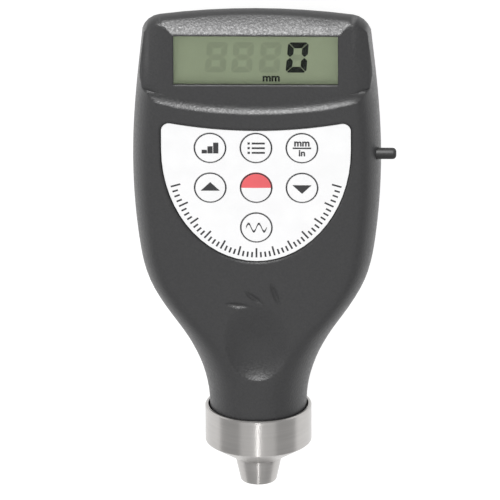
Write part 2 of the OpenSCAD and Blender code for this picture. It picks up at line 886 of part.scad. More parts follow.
// T-shaped body of the battery door, or the room for it with its edges grown by grow
module door_bar(grow, y0) {
    under = grow > 0 ? over : 0;
    bar(y0, overall_len + far)
        union() {
            translate([-door_w / 2 - grow, -back_h - under])
                square([door_w + 2 * grow, tongue_z + tongue_t + back_h + under]);
            translate([-door_w / 2 - tongue - grow, tongue_z - grow])
                square([door_w + 2 * tongue + 2 * grow, tongue_t + 2 * grow]);
        }
}

// Walls of the battery bay and rails of its door
module bay_frame() {
    frame_len = bay_y1 + bay_end_wall - frame_y;
    wall_h = back_h + bay_top_z;
    intersection() {
        union() {
            for (s = [-1, 1]) {
                translate([s * (bay_half + bay_wall / 2) - bay_wall / 2, frame_y, -back_h])
                    cube([bay_wall, frame_len, wall_h]);
                translate([s < 0 ? -rail_half : bay_half, frame_y, -back_h])
                    cube([rail_half - bay_half, overall_len - frame_y, bay_floor_z + back_h]);
            }
            translate([-bay_half - bay_wall, frame_y, -back_h])
                cube([2 * (bay_half + bay_wall), bay_y0 - frame_y, wall_h]);
            translate([-bay_half - bay_wall, bay_y1, -back_h])
                cube([2 * (bay_half + bay_wall), bay_end_wall, wall_h]);
        }
        intersection() {
            back_half(wall / 2, room_points);
            end_trim(wall / 2);
        }
    }
}

module rear_housing() {
    color(case_grey)
    difference() {
        union() {
            difference() {
                intersection() {
                    back_half(0, back_points);
                    end_trim(0);
                }
                intersection() {
                    back_half(wall, room_points);
                    end_trim(wall);
                }
            }
            bay_frame();
            intersection() {
                for (p = case_screws_at)
                    translate([p.x, p.y, -back_h])
                        cylinder(d = case_head_d + 2 * boss_wall, h = back_h);
                back_half(wall / 2, room_points);
            }
        }
        seam();
        door_bar(door_gap, door_y - door_gap);
        translate([-bay_half, bay_y0, -back_h - 1])
            cube([2 * bay_half, bay_y1 - bay_y0, back_h + far]);
        for (p = case_screws_at)
            translate([p.x, p.y, -back_h - 1]) {
                cylinder(d = case_head_d + 2 * seat_gap, h = back_h + 1 - case_seat, $fn = 32);
                cylinder(d = case_screw_d + 2 * seat_gap, h = back_h + 2, $fn = 32);
            }
    }
}

module battery_door() {
    color(case_grey)
    difference() {
        intersection() {
            door_bar(0, door_y);
            end_trim(0);
        }
        for (i = [0:door_grooves - 1])
            translate([-door_groove_len / 2, door_y + door_groove_in + i * door_groove_pitch,
                -back_h - 1])
                cube([door_groove_len, door_groove_w, 1 + door_groove_depth]);
    }
}

module display_window() {
    color([0.75, 0.8, 0.72, 0.4])
    window_box(seat_w - 2 * seat_gap, seat_h - 2 * seat_gap, lens_z, lens_t);
}

module lcd_panel() {
    color([0.54, 0.58, 0.48])
    translate([0, -lcd_shift, 0])
        window_box(lcd_w, lcd_h, lcd_z, lcd_t);
}

module lcd_contact_strips() {
    color([0.35, 0.35, 0.36])
    for (s = [-1, 1])
        translate([strip_in - lcd_w / 2, window_y - lcd_shift + s * strip_y - strip_w / 2, board_z])
            cube([lcd_w - 2 * strip_in, strip_w, lcd_z - board_z]);
}

module main_board() {
    color([0.1, 0.35, 0.18])
    difference() {
        translate([0, 0, board_under_z])
            linear_extrude(board_t)
                intersection() {
                    case_plan(wall + board_gap, overall_len - (wall + board_gap));
                    translate([-case_w / 2, board_y])
                        square([case_w, overall_len - board_y]);
                }
        for (p = case_screws_at)
            translate([p.x, p.y, board_under_z - 1])
                cylinder(d = case_screw_d + 2 * boss_wall + 2 * boss_gap, h = board_t + 2);
        for (p = board_screws_at)
            translate([p.x, p.y, board_under_z - 1])
                cylinder(d = board_screw_d + 2 * seat_gap, h = board_t + 2, $fn = 32);
    }
}

// Chip under the board at a distance from the board's lower end, with legs on two sides
module chip(from_end, w, l, legs) {
    y = board_y + from_end;
    pitch = l / (legs + 1);
    translate([-w / 2, y - l / 2, board_under_z - chip_t])
        cube([w, l, chip_t - seat_gap]);
    for (s = [-1, 1], i = [0:legs - 1])
        translate([s * (w + leg_len) / 2 - leg_len / 2 - s * seat_gap,
            y + (i - (legs - 1) / 2) * pitch - leg_w / 2, board_under_z - leg_w])
            cube([leg_len, leg_w, leg_w]);
}

module processor_chip() {
    color([0.1, 0.1, 0.1])
    chip(chip_in, chip_w, chip_w, chip_legs);
}

module amplifier_chip() {
    color([0.1, 0.1, 0.1])
    chip(amp_in, amp_w, amp_len, 4);
}

module quartz_can() {
    color([0.75, 0.75, 0.76])
    hull()
        for (s = [-1, 1])
            translate([can_x + s * can_run / 2, board_y + can_in, board_under_z - can_h])
                cylinder(d = can_d, h = can_h, $fn = 24);
}

module keypad_overlay() {
    color([0.96, 0.96, 0.97])
    difference() {
        translate([0, 0, pocket_z])
            linear_extrude(label_t)
                polygon(label_outline(0));
        key_holes(pocket_z - 1, label_t + 2);
    }
}

module tact_switches() {
    color([0.15, 0.15, 0.16])
    for (p = key_places)
        difference() {
            translate([p.x - switch_w / 2, p.y - switch_w / 2, board_z])
                cube([switch_w, switch_w, switch_h]);
            translate([p.x, p.y, stem_well_z])
                cylinder(d = key_stem_d + 2 * key_gap, h = switch_h, $fn = 32);
        }
}

// One key: crowned face, flange under the wall and stem into its switch
module key(i) {
    face_r = key_d / 2;
    translate([key_places[i].x, key_places[i].y, 0])
        rotate_extrude()
            polygon(concat(
                [[0, stem_z], [key_stem_d / 2, stem_z], [key_stem_d / 2, flange_z],
                    [key_flange_d / 2, flange_z], [key_flange_d / 2, flange_top_z],
                    [face_r, flange_top_z], [face_r, label_z - key_edge / 2],
                    [face_r - key_edge, label_z + key_crown / 3]],
                [[0, label_z + key_crown]]
            ));
}

module key_calibrate() color(key_white) key(0);
module key_select() color(key_white) key(1);
module key_unit() color(key_white) key(2);
module key_up() color(key_white) key(3);
module key_power() color([0.88, 0.35, 0.38]) key(4);
module key_down() color(key_white) key(5);
module key_velocity() color(key_white) key(6);

module output_jack() {
    color([0.08, 0.08, 0.08])
    difference() {
        translate([jack_x - jack_len, jack_y - jack_w / 2, board_z])
            cube([jack_len, jack_w, jack_axis_h + jack_bore_r + jack_roof]);
        translate([jack_x - plug_in - 1, jack_y, jack_z])
            rotate([0, 90, 0])
                cylinder(r = jack_bore_r, h = jack_len + far);
    }
}

module jack_plug() {
    color([0.05, 0.05, 0.05])
    translate([0, jack_y, jack_z])
        rotate([0, 90, 0])
            rotate_extrude()
                polygon(concat(
                    [[0, jack_x - plug_in], [plug_d / 2 - plug_edge, jack_x - plug_in],
                        [plug_d / 2, jack_x - plug_in + plug_edge]],
                    arc([plug_d / 2 - plug_edge, plug_x - plug_edge], plug_edge, 0, 90, 6),
                    [[0, plug_x]]
                ));
}

module collar() {
    color([0.7, 0.7, 0.71])
    to_y()
        rotate_extrude()
            polygon([
                [sleeve_d / 2 + seat_gap, tip_len],
                [tip_root_d / 2 + collar_edge / 2, tip_len],
                [collar_d / 2 - collar_edge, cone_y],
                [collar_d / 2, cone_y + collar_edge],
                [collar_d / 2, collar_end_y - collar_edge],
                [collar_d / 2 - collar_edge, collar_end_y],
                [collar_bore_r, collar_end_y],
                [collar_bore_r, floor_y],
                [sleeve_d / 2 + seat_gap, floor_y]
            ]);
}

module probe_sleeve() {
    bore_r = element_d / 2 + seat_gap / 2;
    color([0.62, 0.62, 0.63])
    to_y()
        rotate_extrude()
            polygon([
                [bore_r, 0],
                [tip_d / 2 - tip_edge, 0],
                [tip_d / 2, tip_edge],
                [tip_root_d / 2, tip_len - face_gap],
                [sleeve_d / 2, tip_len - face_gap],
                [sleeve_d / 2, floor_y],
                [flange_r, floor_y],
                [flange_r, neck_start_y],
                [sleeve_d / 2, neck_start_y],
                [sleeve_d / 2, neck_start_y + sleeve_tail],
                [bore_r, neck_start_y + sleeve_tail]
            ]);
}

// Half of a disc on the probe axis, on the side s of the barrier
module half_disc(s, d, y0, y1) {
    intersection() {
        translate([0, y0, 0])
            to_y()
                cylinder(d = d, h = y1 - y0);
        translate([s > 0 ? barrier_t / 2 : -far - barrier_t / 2, y0 - 1, -far])
            cube([far, y1 - y0 + 2, 2 * far]);
    }
}

module delay_block_transmit() color([0.85, 0.82, 0.7]) half_disc(-1, element_d, 0, delay_len);
module delay_block_receive() color([0.85, 0.82, 0.7]) half_disc(1, element_d, 0, delay_len);
module crystal_transmit() color([0.8, 0.75, 0.6]) crystal(-1);
module crystal_receive() color([0.8, 0.75, 0.6]) crystal(1);
module crystal(s) half_disc(s, element_d - crystal_step, delay_len, crystal_y);

module acoustic_barrier() {
    color([0.45, 0.3, 0.18])
    intersection() {
        to_y()
            cylinder(d = element_d, h = crystal_y);
        translate([-barrier_t / 2, -1, -far])
            cube([barrier_t, crystal_y + 2, 2 * far]);
    }
}

module backing_block() {
    color([0.3, 0.28, 0.27])
    translate([0, crystal_y, 0])
        to_y()
            cylinder(d = element_d, h = backing_len);
}

module probe_leads() {
    color([0.55, 0.1, 0.1])
    for (s = [-1, 1])
        translate([s * lead_pitch / 2, backing_y, board_under_z - lead_d / 2 - face_gap])
            to_y()
                cylinder(d = lead_d, h = board_y + lead_run - backing_y, $fn = 24);
}

// One cell along Y; s is 1 with its nub towards the display end
module cell(i) {
    s = i % 2 == 0 ? 1 : -1;
    base = cell_len - cell_nub;
    low = s > 0 ? bay_y0 + seat_gap + plate_t + spring_len : bay_y1 - seat_gap - plate_t - spring_len;
    translate([(i - 1.5) * cell_pitch, low, cell_z])
        rotate([s > 0 ? -90 : 90, 0, 0])
            rotate_extrude()
                polygon([[0, 0], [cell_d / 2 - cell_edge, 0], [cell_d / 2, cell_edge],
                    [cell_d / 2, base - cell_edge], [cell_d / 2 - cell_edge, base], [nub_d / 2, base],
                    [nub_d / 2, cell_len], [0, cell_len]]);
}

module battery_cell_1() color(cell_grey) cell(0);
module battery_cell_2() color(cell_grey) cell(1);
module battery_cell_3() color(cell_grey) cell(2);
module battery_cell_4() color(cell_grey) cell(3);

// Cone-shaped coil from a plate up to a cell's base
module contact_spring() {
    turns = 2.5;
    sides = 6;
    per_turn = 10;
    wire_r = spring_wire / 2;
    rise = spring_len - spring_wire - 2 * seat_gap;
    loft([for (i = [0:turns * per_turn])
        let (t = i / (turns * per_turn), a = 360 * turns * t,
            coil_r = spring_base_r + (spring_top_r - spring_base_r) * t)
        [for (k = [0:sides - 1])
            let (b = 360 * k / sides, r = coil_r + wire_r * cos(b))
            [r * cos(a), r * sin(a), wire_r + seat_gap + rise * t + wire_r * sin(b)]]]);
}

module contact_springs() {
    color([0.75, 0.73, 0.68])
    for (i = [0:3])
        translate([(i - 1.5) * cell_pitch,
            i % 2 == 0 ? bay_y0 + seat_gap + plate_t : bay_y1 - seat_gap - plate_t, cell_z])
            rotate([i % 2 == 0 ? -90 : 90, 0, 0])
                contact_spring();
}

// Plate over cells a to b
module contact_plate(a, b, y) {
    w = cell_pitch - plate_gap;
    translate([(a - 1.5) * cell_pitch - w / 2, y, cell_z - plate_h / 2])
        cube([(b - a) * cell_pitch + w, plate_t, plate_h]);
}

module contact_plates() {
    low = bay_y0 + seat_gap;
    high = bay_y1 - seat_gap - plate_t;
    color([0.75, 0.73, 0.68]) {
        contact_plate(0, 0, low);
        contact_plate(1, 2, low);
        contact_plate(3, 3, low);
        contact_plate(0, 1, high);
        contact_plate(2, 3, high);
    }
}

// Pan-head screw pointing up, its head's upper face at z = 0
module screw(d, head_d, head_h, l) {
    rotate_extrude($fn = 32)
        polygon([[0, -head_h], [head_d / 2 - screw_edge, -head_h], [head_d / 2, screw_edge - head_h],
            [head_d / 2, 0], [d / 2, 0], [d / 2, l - d / 2], [0, l]]);
}

module case_screws() {
    color([0.6, 0.6, 0.62])
    for (p = case_screws_at)
        translate([p.x, p.y, case_seat_z])
            screw(case_screw_d, case_head_d, case_head_h, case_grip - case_seat_z);
}

module board_screws() {
    color([0.6, 0.6, 0.62])
    for (p = board_screws_at)
        translate([p.x, p.y, board_under_z])
            screw(board_screw_d, board_head_d, board_head_h, board_screw_len);
}

front_housing();
rear_housing();
battery_door();
display_window();
lcd_panel();
lcd_contact_strips();
main_board();
processor_chip();
amplifier_chip();
quartz_can();
keypad_overlay();
tact_switches();
key_calibrate();
key_select();
key_unit();
key_up();
key_power();
key_down();
key_velocity();
output_jack();
jack_plug();
collar();
probe_sleeve();
delay_block_transmit();
delay_block_receive();
acoustic_barrier();
crystal_transmit();
crystal_receive();
backing_block();
probe_leads();
battery_cell_1();
battery_cell_2();
battery_cell_3();
battery_cell_4();
contact_springs();
contact_plates();
case_screws();
board_screws();
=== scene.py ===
# %% [markdown]
# This is a hand-held ultrasonic thickness gauge, lying on its back. X runs across it, Y from the
# probe's contact face to the display end, and Z out of the front. Its solids come from a packed
# frame, in metres. They could be modelled again here, but then the solids and their looks would
# drift apart, so every piece of this lesson is fitted round what the frame holds.

# %% Load the frame
import json
import math

import bmesh
import bpy
from mathutils import Matrix, Vector


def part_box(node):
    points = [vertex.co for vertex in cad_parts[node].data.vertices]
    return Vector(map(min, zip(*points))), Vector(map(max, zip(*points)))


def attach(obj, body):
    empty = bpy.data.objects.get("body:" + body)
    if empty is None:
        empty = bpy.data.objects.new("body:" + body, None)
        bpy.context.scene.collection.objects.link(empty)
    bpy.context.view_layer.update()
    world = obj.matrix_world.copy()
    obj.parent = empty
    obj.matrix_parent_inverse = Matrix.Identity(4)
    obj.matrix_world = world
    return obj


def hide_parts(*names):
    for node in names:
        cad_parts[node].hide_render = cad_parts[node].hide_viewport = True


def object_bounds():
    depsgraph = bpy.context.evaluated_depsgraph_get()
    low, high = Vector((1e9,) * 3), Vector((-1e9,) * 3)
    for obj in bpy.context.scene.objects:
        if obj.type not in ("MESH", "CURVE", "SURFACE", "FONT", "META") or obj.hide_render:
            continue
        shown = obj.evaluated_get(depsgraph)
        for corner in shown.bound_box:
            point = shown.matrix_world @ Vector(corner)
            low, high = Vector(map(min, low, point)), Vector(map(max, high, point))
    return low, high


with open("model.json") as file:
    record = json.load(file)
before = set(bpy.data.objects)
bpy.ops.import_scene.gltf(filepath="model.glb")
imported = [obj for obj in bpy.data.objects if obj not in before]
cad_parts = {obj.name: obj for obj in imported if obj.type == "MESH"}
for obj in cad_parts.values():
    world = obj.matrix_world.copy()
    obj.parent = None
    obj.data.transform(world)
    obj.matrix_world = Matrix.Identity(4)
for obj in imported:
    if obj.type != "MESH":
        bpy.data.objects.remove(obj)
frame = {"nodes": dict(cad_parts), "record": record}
cad_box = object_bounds()
scene = bpy.context.scene
MM = 0.001
record = frame["record"]
body_of = {node: body for body, nodes in record["behaviour"]["bodies"].items() for node in nodes}
slot_of = {row["node"]: row["material_slot"] for row in record["subparts"]}

# %% [markdown]
# The gauge is seen almost straight on, from a little above the display and a touch from its
# right, through a long lens that hardly narrows it. A constraint could aim the camera, but a
# matrix says it all at once: its columns are the picture's right, the picture's up and the way
# back to the photographer. Up is the gauge's Y axis less its part along the line of sight, and a
# small roll finishes it.

# %% Camera
CAMERA_TILT = math.radians(21)
CAMERA_TURN = math.radians(1.4)
CAMERA_ROLL = math.radians(0.3)
CAMERA_DISTANCE = 4000 * MM
PICTURE_WIDTH = 131.3 * MM
PICTURE_CENTRE = Vector((-2.0, 64.6, 0)) * MM

level = math.cos(CAMERA_TILT)
back = Vector(
    (level * math.sin(CAMERA_TURN), math.sin(CAMERA_TILT), level * math.cos(CAMERA_TURN))
)
up = (Vector((0, 1, 0)) - back * back.y).normalized()
camera_up = Matrix.Rotation(-CAMERA_ROLL, 3, back) @ up
camera_right = camera_up.cross(back)
facing = Matrix((camera_right, camera_up, back)).transposed().to_4x4()
camera = bpy.data.objects.new("camera", bpy.data.cameras.new("camera"))
camera.matrix_world = Matrix.Translation(PICTURE_CENTRE + back * CAMERA_DISTANCE) @ facing
camera.data.lens = camera.data.sensor_width * CAMERA_DISTANCE / PICTURE_WIDTH
scene.collection.objects.link(camera)
scene.camera = camera
print("camera: lens %.0f mm" % camera.data.lens)

# %% [markdown]
# A soft box hangs beyond the display, just where the bevel over the display and the lower rim of
# the thumb scoop mirror it to the camera. It is seen only in reflections, so it throws no shadow
# on the table. A large fill does the opposite: it lights the film and the display, and no
# reflection shows it. A weaker box stands on the left, a wide dim panel hangs overhead, and a
# narrow strip on the probe's side draws the bright line down the turned steel. A light could be
# given by its power, but how bright it looks is its radiance, the power over pi times the area.
# So each light is given as a size and a radiance, and the power follows.

# %% Soft boxes
LIGHT_DISTANCE = 6.0


def soft_box(name, direction, size, radiance, lights=True, mirrored=True):
    """An area light that looks at the gauge from a direction."""
    lamp = bpy.data.lights.new(name, "AREA")
    lamp.shape = "RECTANGLE"
    lamp.size, lamp.size_y = size
    lamp.energy = radiance * math.pi * size[0] * size[1]
    light = bpy.data.objects.new(name, lamp)
    way = Vector(direction).normalized()
    light.location = (cad_box[0] + cad_box[1]) / 2 + way * LIGHT_DISTANCE
    light.rotation_euler = way.to_track_quat("Z", "Y").to_euler()
    light.visible_diffuse = light.visible_transmission = lights
    light.visible_glossy = mirrored
    scene.collection.objects.link(light)
    return light


beyond_box = soft_box("beyond_box", (-0.08, 0.8, 0.6), (2.6, 1.5), 58, lights=False)
soft_box("fill", (-0.1, 0.2, 0.97), (6.0, 6.0), 1.2, mirrored=False)
left_box = soft_box("left_box", (-0.9, 0.1, 0.45), (2.0, 4.0), 2.5)
soft_box("overhead", (0, -0.36, 0.93), (9.0, 3.0), 0.5)
strip = soft_box("strip", (0, -0.55, 0.83), (0.25, 3.0), 12)

# %% [markdown]
# The gauge lies on a white table in a white room. A table that is only lit would turn grey in the
# gauge's shadow, so this one glows, as a light table does: the ground stays white right up to
# the case, and the steel's edges mirror it. The room is dimmer than the table, which leaves the
# steel its darker bands. The Standard view shows the colours as they are set.

# %% Room and table
WHITE = (1, 1, 1, 1)
ROOM_RADIANCE = 0.58
FLOOR_SIZE = 30.0
FLOOR_GAP = 0.02 * MM
FLOOR_GREY = 0.35
FLOOR_ROUGHNESS = 0.9
FLOOR_GLOW = 0.85


def set_sockets(node, values):
    """Puts values on a node's own sockets."""
    for socket, value in values.items():
        node.inputs[socket].default_value = value


def shader_of(material):
    """The shader of a material, with its nodes switched on."""
    material.use_nodes = True
    return material.node_tree.nodes["Principled BSDF"]


world = bpy.data.worlds.new("studio")
world.use_nodes = True
set_sockets(world.node_tree.nodes["Background"], {"Color": WHITE, "Strength": ROOM_RADIANCE})
scene.world = world
scene.view_settings.view_transform = "Standard"

bm = bmesh.new()
bmesh.ops.create_grid(bm, x_segments=1, y_segments=1, size=FLOOR_SIZE / 2)
bmesh.ops.translate(bm, verts=bm.verts, vec=(0, 0, cad_box[0].z - FLOOR_GAP))
floor = bpy.data.objects.new("floor", bpy.data.meshes.new("floor"))
bm.to_mesh(floor.data)
bm.free()
scene.collection.objects.link(floor)
paper = bpy.data.materials.new("floor_paper")
set_sockets(shader_of(paper), {
    "Base Color": (FLOOR_GREY, FLOOR_GREY, FLOOR_GREY, 1),
    "Roughness": FLOOR_ROUGHNESS,
    "Emission Color": WHITE,
    "Emission Strength": FLOOR_GLOW,
})
floor.data.materials.append(paper)
print("table: %.0f m wide, in a white room" % FLOOR_SIZE)

# %% [markdown]
# Nothing real has one flat colour. Painted images could show that, but they need unwrapping, and
# their seams show. Noise needs neither: it fills space, and on Object coordinates it stays with
# a piece that moves. Its scale counts lumps along a metre, so lumps of a size in millimetres take
# one over that size. A stretch below one draws the lumps out along that axis.

# %% Noise
NOISE_DETAIL = 2


def noise(tree, size, stretch):
    """Noise on Object coordinates with lumps of a size in mm."""
    place = tree.nodes.new("ShaderNodeTexCoord")
    mapping = tree.nodes.new("ShaderNodeMapping")
    set_sockets(mapping, {"Scale": stretch})
    lumps = tree.nodes.new("ShaderNodeTexNoise")
    set_sockets(lumps, {"Scale": 1 / (size * MM), "Detail": NOISE_DETAIL})
    tree.links.new(place.outputs["Object"], mapping.inputs["Vector"])
    tree.links.new(mapping.outputs["Vector"], lumps.inputs["Vector"])
    return lumps.outputs["Fac"]


print("noise: lumps of 1 mm have a scale of %.0f" % (1 / MM))

# %% [markdown]
# Every finish of the gauge is built the same way: a cloudy noise shifts the colour and the
# roughness a little over a few millimetres, and a finer noise raises a grain. Each could have
# its own nodes, but one function with named strengths keeps them alike. The keypad's white satin
# film and its dark ink come first, because they are the plainest.

# %% Film and ink
CLOUD_RANGE = (0.3, 0.7)


def surface(name, colour, roughness, metallic=0.0, vary=0.08, gloss=0.08, patch=5, grain=0.3,
            depth=0.004, stretch=(1, 1, 1)):
    """A material whose colour and roughness drift and whose grain is raised, sizes in mm."""
    made = bpy.data.materials.new(name)
    shader = shader_of(made)
    set_sockets(shader, {"Base Color": (*colour, 1), "Roughness": roughness, "Metallic": metallic})
    tree = made.node_tree
    cloud = noise(tree, patch, stretch)
    tint = tree.nodes.new("ShaderNodeValToRGB")
    for stop, at, share in zip(tint.color_ramp.elements, CLOUD_RANGE, (1 - vary, 1 + vary)):
        stop.color = (*[min(1, c * share) for c in colour], 1)
        stop.position = at
    sheen = tree.nodes.new("ShaderNodeMapRange")
    set_sockets(sheen, {
        "From Min": CLOUD_RANGE[0],
        "From Max": CLOUD_RANGE[1],
        "To Min": roughness * (1 - gloss),
        "To Max": roughness * (1 + gloss),
    })
    bump = tree.nodes.new("ShaderNodeBump")
    set_sockets(bump, {"Distance": depth * MM})
    tree.links.new(cloud, tint.inputs["Fac"])
    tree.links.new(cloud, sheen.inputs["Value"])
    tree.links.new(noise(tree, grain, stretch), bump.inputs["Height"])
    tree.links.new(tint.outputs["Color"], shader.inputs["Base Color"])
    tree.links.new(sheen.outputs["Result"], shader.inputs["Roughness"])
    tree.links.new(bump.outputs["Normal"], shader.inputs["Normal"])
    return made


film = surface("film", (0.97, 0.97, 0.975), 0.45, vary=0.02, grain=0.2, depth=0.001)
# Besides the print, this dark ink paints the shade in the screw heads' cross recesses.
ink_and_painted_shade = surface("ink_and_painted_shade", (0.035, 0.035, 0.038), 0.5, grain=0.2, depth=0.001)
print("finishes: film and ink, of", len(film.node_tree.nodes), "nodes each")

# %% [markdown]
# The case is dark grey plastic with the sparked grain of its mould. From arm's length that grain
# is a speckle of gloss more than a relief, so its cloud is fine and shifts the roughness most.
# The mould leaves no sharp edge. Bevelling each edge of such a shell could fail on its thin faces,
# so a Bevel node rounds the shading instead.

# %% Case
CASE_SPECULAR = 0.4
CASE_EDGE = 0.9
EDGE_SAMPLES = 6

case_plastic = surface("case_plastic", (0.038, 0.038, 0.0393), 0.42, vary=0.1, gloss=0.21,
                       patch=0.55, grain=0.6, depth=0.07)
set_sockets(shader_of(case_plastic), {"Specular IOR Level": CASE_SPECULAR})
tree = case_plastic.node_tree
round_edge = tree.nodes.new("ShaderNodeBevel")
round_edge.samples = EDGE_SAMPLES
set_sockets(round_edge, {"Radius": CASE_EDGE * MM})
tree.links.new(round_edge.outputs["Normal"], tree.nodes["Bump"].inputs["Normal"])
print("finishes: case, its edges rounded by", CASE_EDGE, "mm")

# %% [markdown]
# The collar and the probe's sleeve are turned steel. Their fine grooves run round the axis, so a
# reflection is blurred along it and stays narrow across it. Modelled grooves would take a great
# many faces, and anisotropy gives the same blur. Its direction has to run round the Y axis, and
# the cross product of a place and that axis does.

# %% Turned steel
STEEL_BLUR = 0.7
QUARTER_TURN = 0.25
PROBE_AXIS = (0, 1, 0)

turned_steel = surface("turned_steel", (0.45, 0.437, 0.425), 0.3, metallic=1, vary=0.05,
                       patch=0.9, grain=0.3, depth=0.004, stretch=(0.05, 1, 0.05))
shader = shader_of(turned_steel)
set_sockets(shader, {"Anisotropic": STEEL_BLUR, "Anisotropic Rotation": QUARTER_TURN})
tree = turned_steel.node_tree
place = tree.nodes.new("ShaderNodeTexCoord")
round_axis = tree.nodes.new("ShaderNodeVectorMath")
round_axis.operation = "CROSS_PRODUCT"
set_sockets(round_axis, {1: PROBE_AXIS})
to_world = tree.nodes.new("ShaderNodeVectorTransform")
to_world.vector_type = "VECTOR"
to_world.convert_from = "OBJECT"
to_world.convert_to = "WORLD"
tree.links.new(place.outputs["Object"], round_axis.inputs[0])
tree.links.new(round_axis.outputs["Vector"], to_world.inputs["Vector"])
tree.links.new(to_world.outputs["Vector"], shader.inputs["Tangent"])
print("finishes: turned steel, blurred by", STEEL_BLUR)

# %% [markdown]
# The power key is red above its middle line and white below it. A red half disc could be laid on
# it, but a comparison of the Y coordinate picks the colour and needs no other piece.

# %% Power key
LOWER_HALF = (0.95, 0.95, 0.955, 1)

power_film = surface("power_film", (0.86, 0.125, 0.14), 0.45, vary=0.04, grain=0.2, depth=0.001)
power_low, power_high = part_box("key_power")
power_middle = (power_low.y + power_high.y) / 2
tree = power_film.node_tree
place = tree.nodes.new("ShaderNodeTexCoord")
split = tree.nodes.new("ShaderNodeSeparateXYZ")
above = tree.nodes.new("ShaderNodeMath")
above.operation = "GREATER_THAN"
set_sockets(above, {1: power_middle})
halves = tree.nodes.new("ShaderNodeMixRGB")
set_sockets(halves, {"Color1": LOWER_HALF})
tree.links.new(place.outputs["Object"], split.inputs["Vector"])
tree.links.new(split.outputs["Y"], above.inputs[0])
tree.links.new(above.outputs["Value"], halves.inputs["Fac"])
tree.links.new(tree.nodes["Color Ramp"].outputs["Color"], halves.inputs["Color2"])
tree.links.new(halves.outputs["Color"], shader_of(power_film).inputs["Base Color"])
print("finishes: power key, parted at %.1f mm" % (power_middle / MM))

# %% [markdown]
# The display is grey-green glass deep under a clear lens. A lamp in so narrow a room would leave
# spots, so the glass itself glows a little: painted light, which evens out the shade that the
# window's deep walls would cast on it. Lit bars are nearly black, and unlit ones are a shade
# darker than the glass. The lens bends light less than real glass, which keeps it clear at a
# slant.

# %% Display and lens
LCD_PAINTED_LIGHT = (0.25, 0.29, 0.2, 1)
LCD_PAINTED_LIGHT_STRENGTH = 0.35
LCD_SPECULAR = 0.1
LENS_IOR = 1.12

lcd = surface("lcd", (0.213, 0.245, 0.161), 0.4, vary=0.03, patch=12, grain=0.15, depth=0.0005)
lcd_ghost = surface("lcd_ghost", (0.163, 0.19, 0.126), 0.4, vary=0.03, grain=0.15, depth=0.0005)
lcd_dark = surface("lcd_dark", (0.006, 0.009, 0.006), 0.4, grain=0.15, depth=0.0005)
for material in (lcd, lcd_ghost, lcd_dark):
    set_sockets(shader_of(material), {"Specular IOR Level": LCD_SPECULAR})
# The emission on the glass and the unlit bars is painted light, because the display is no lamp.
painted_light = {"Emission Color": LCD_PAINTED_LIGHT, "Emission Strength": LCD_PAINTED_LIGHT_STRENGTH}
for material in (lcd, lcd_ghost):
    set_sockets(shader_of(material), painted_light)
clear_lens = surface("clear_lens", (0.97, 0.98, 0.97), 0.02, vary=0.01, grain=8, depth=0.0005)
set_sockets(shader_of(clear_lens), {"Transmission Weight": 1, "IOR": LENS_IOR})
print("finishes: display and lens")

# %% [markdown]
# Inside, each piece has the finish of its trade: solder mask, moulded epoxy, zinc-plated screws,
# printed cell sleeves, cork between the probe's two acrylic blocks. Each could be worked out as
# the case is, but most show only when the gauge is opened, so one call each is enough. A table
# gives every slot of the record its finish.

# %% Inner pieces
FINISH = {
    "case": case_plastic,
    "steel": turned_steel,
    "overlay": film,
    "key": film,
    "power_key": power_film,
    "lcd": lcd,
    "lens": clear_lens,
    "plug_rubber": surface("plug_rubber", (0.012, 0.012, 0.012), 0.55, grain=0.2, depth=0.004),
    "strip_rubber": surface("strip_rubber", (0.1, 0.1, 0.1), 0.7, grain=0.2),
    "board": surface("solder_mask", (0.02, 0.12, 0.05), 0.35, vary=0.3, patch=1.5, grain=1.0),
    "chip": surface("chip_epoxy", (0.018, 0.018, 0.018), 0.6, grain=0.1),
    "can": surface("can_nickel", (0.7, 0.69, 0.66), 0.3, metallic=1, grain=0.3, depth=0.001),
    "switch": surface("switch_nylon", (0.03, 0.03, 0.03), 0.5),
    "delay": surface("delay_acrylic", (0.75, 0.68, 0.45), 0.15, vary=0.05, grain=0.4, depth=0.001),
    "cork": surface("cork", (0.35, 0.2, 0.1), 0.85, vary=0.4, patch=0.4, grain=0.2, depth=0.02),
    "ceramic": surface("ceramic", (0.7, 0.62, 0.42), 0.4, vary=0.05),
    "backing": surface("backing_resin", (0.08, 0.07, 0.07), 0.6, vary=0.3, patch=0.6),
    "lead": surface("lead_sheath", (0.25, 0.02, 0.02), 0.45),
    "cell": surface("cell_sleeve", (0.3, 0.32, 0.36), 0.3, metallic=0.6, vary=0.05, grain=0.6,
                    depth=0.001),
    "contact": surface("contact_nickel", (0.7, 0.68, 0.62), 0.3, metallic=1, grain=0.3,
                       depth=0.001),
    "screw": surface("screw_zinc", (0.5, 0.5, 0.51), 0.35, metallic=1, vary=0.1, patch=1,
                     grain=0.2, depth=0.002),
}
print("finishes:", len(FINISH), "slots filled")

# %% [markdown]
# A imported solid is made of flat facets, and the real mouldings and turnings are smooth. More
# facets would only hide that, so a copy of each solid has its doubled points merged, its coplanar
# facets joined, and its normals smoothed wherever two faces meet at less than thirty degrees.
# Weighted normals keep the large flat faces flat. The copy then takes the place of its solid.

# %% Smooth copies
MERGE_DISTANCE = 0.001 * MM
SLIVER_LENGTH = 0.002 * MM
FLAT_ANGLE = math.radians(0.4)
SMOOTH_ANGLE = math.radians(30)


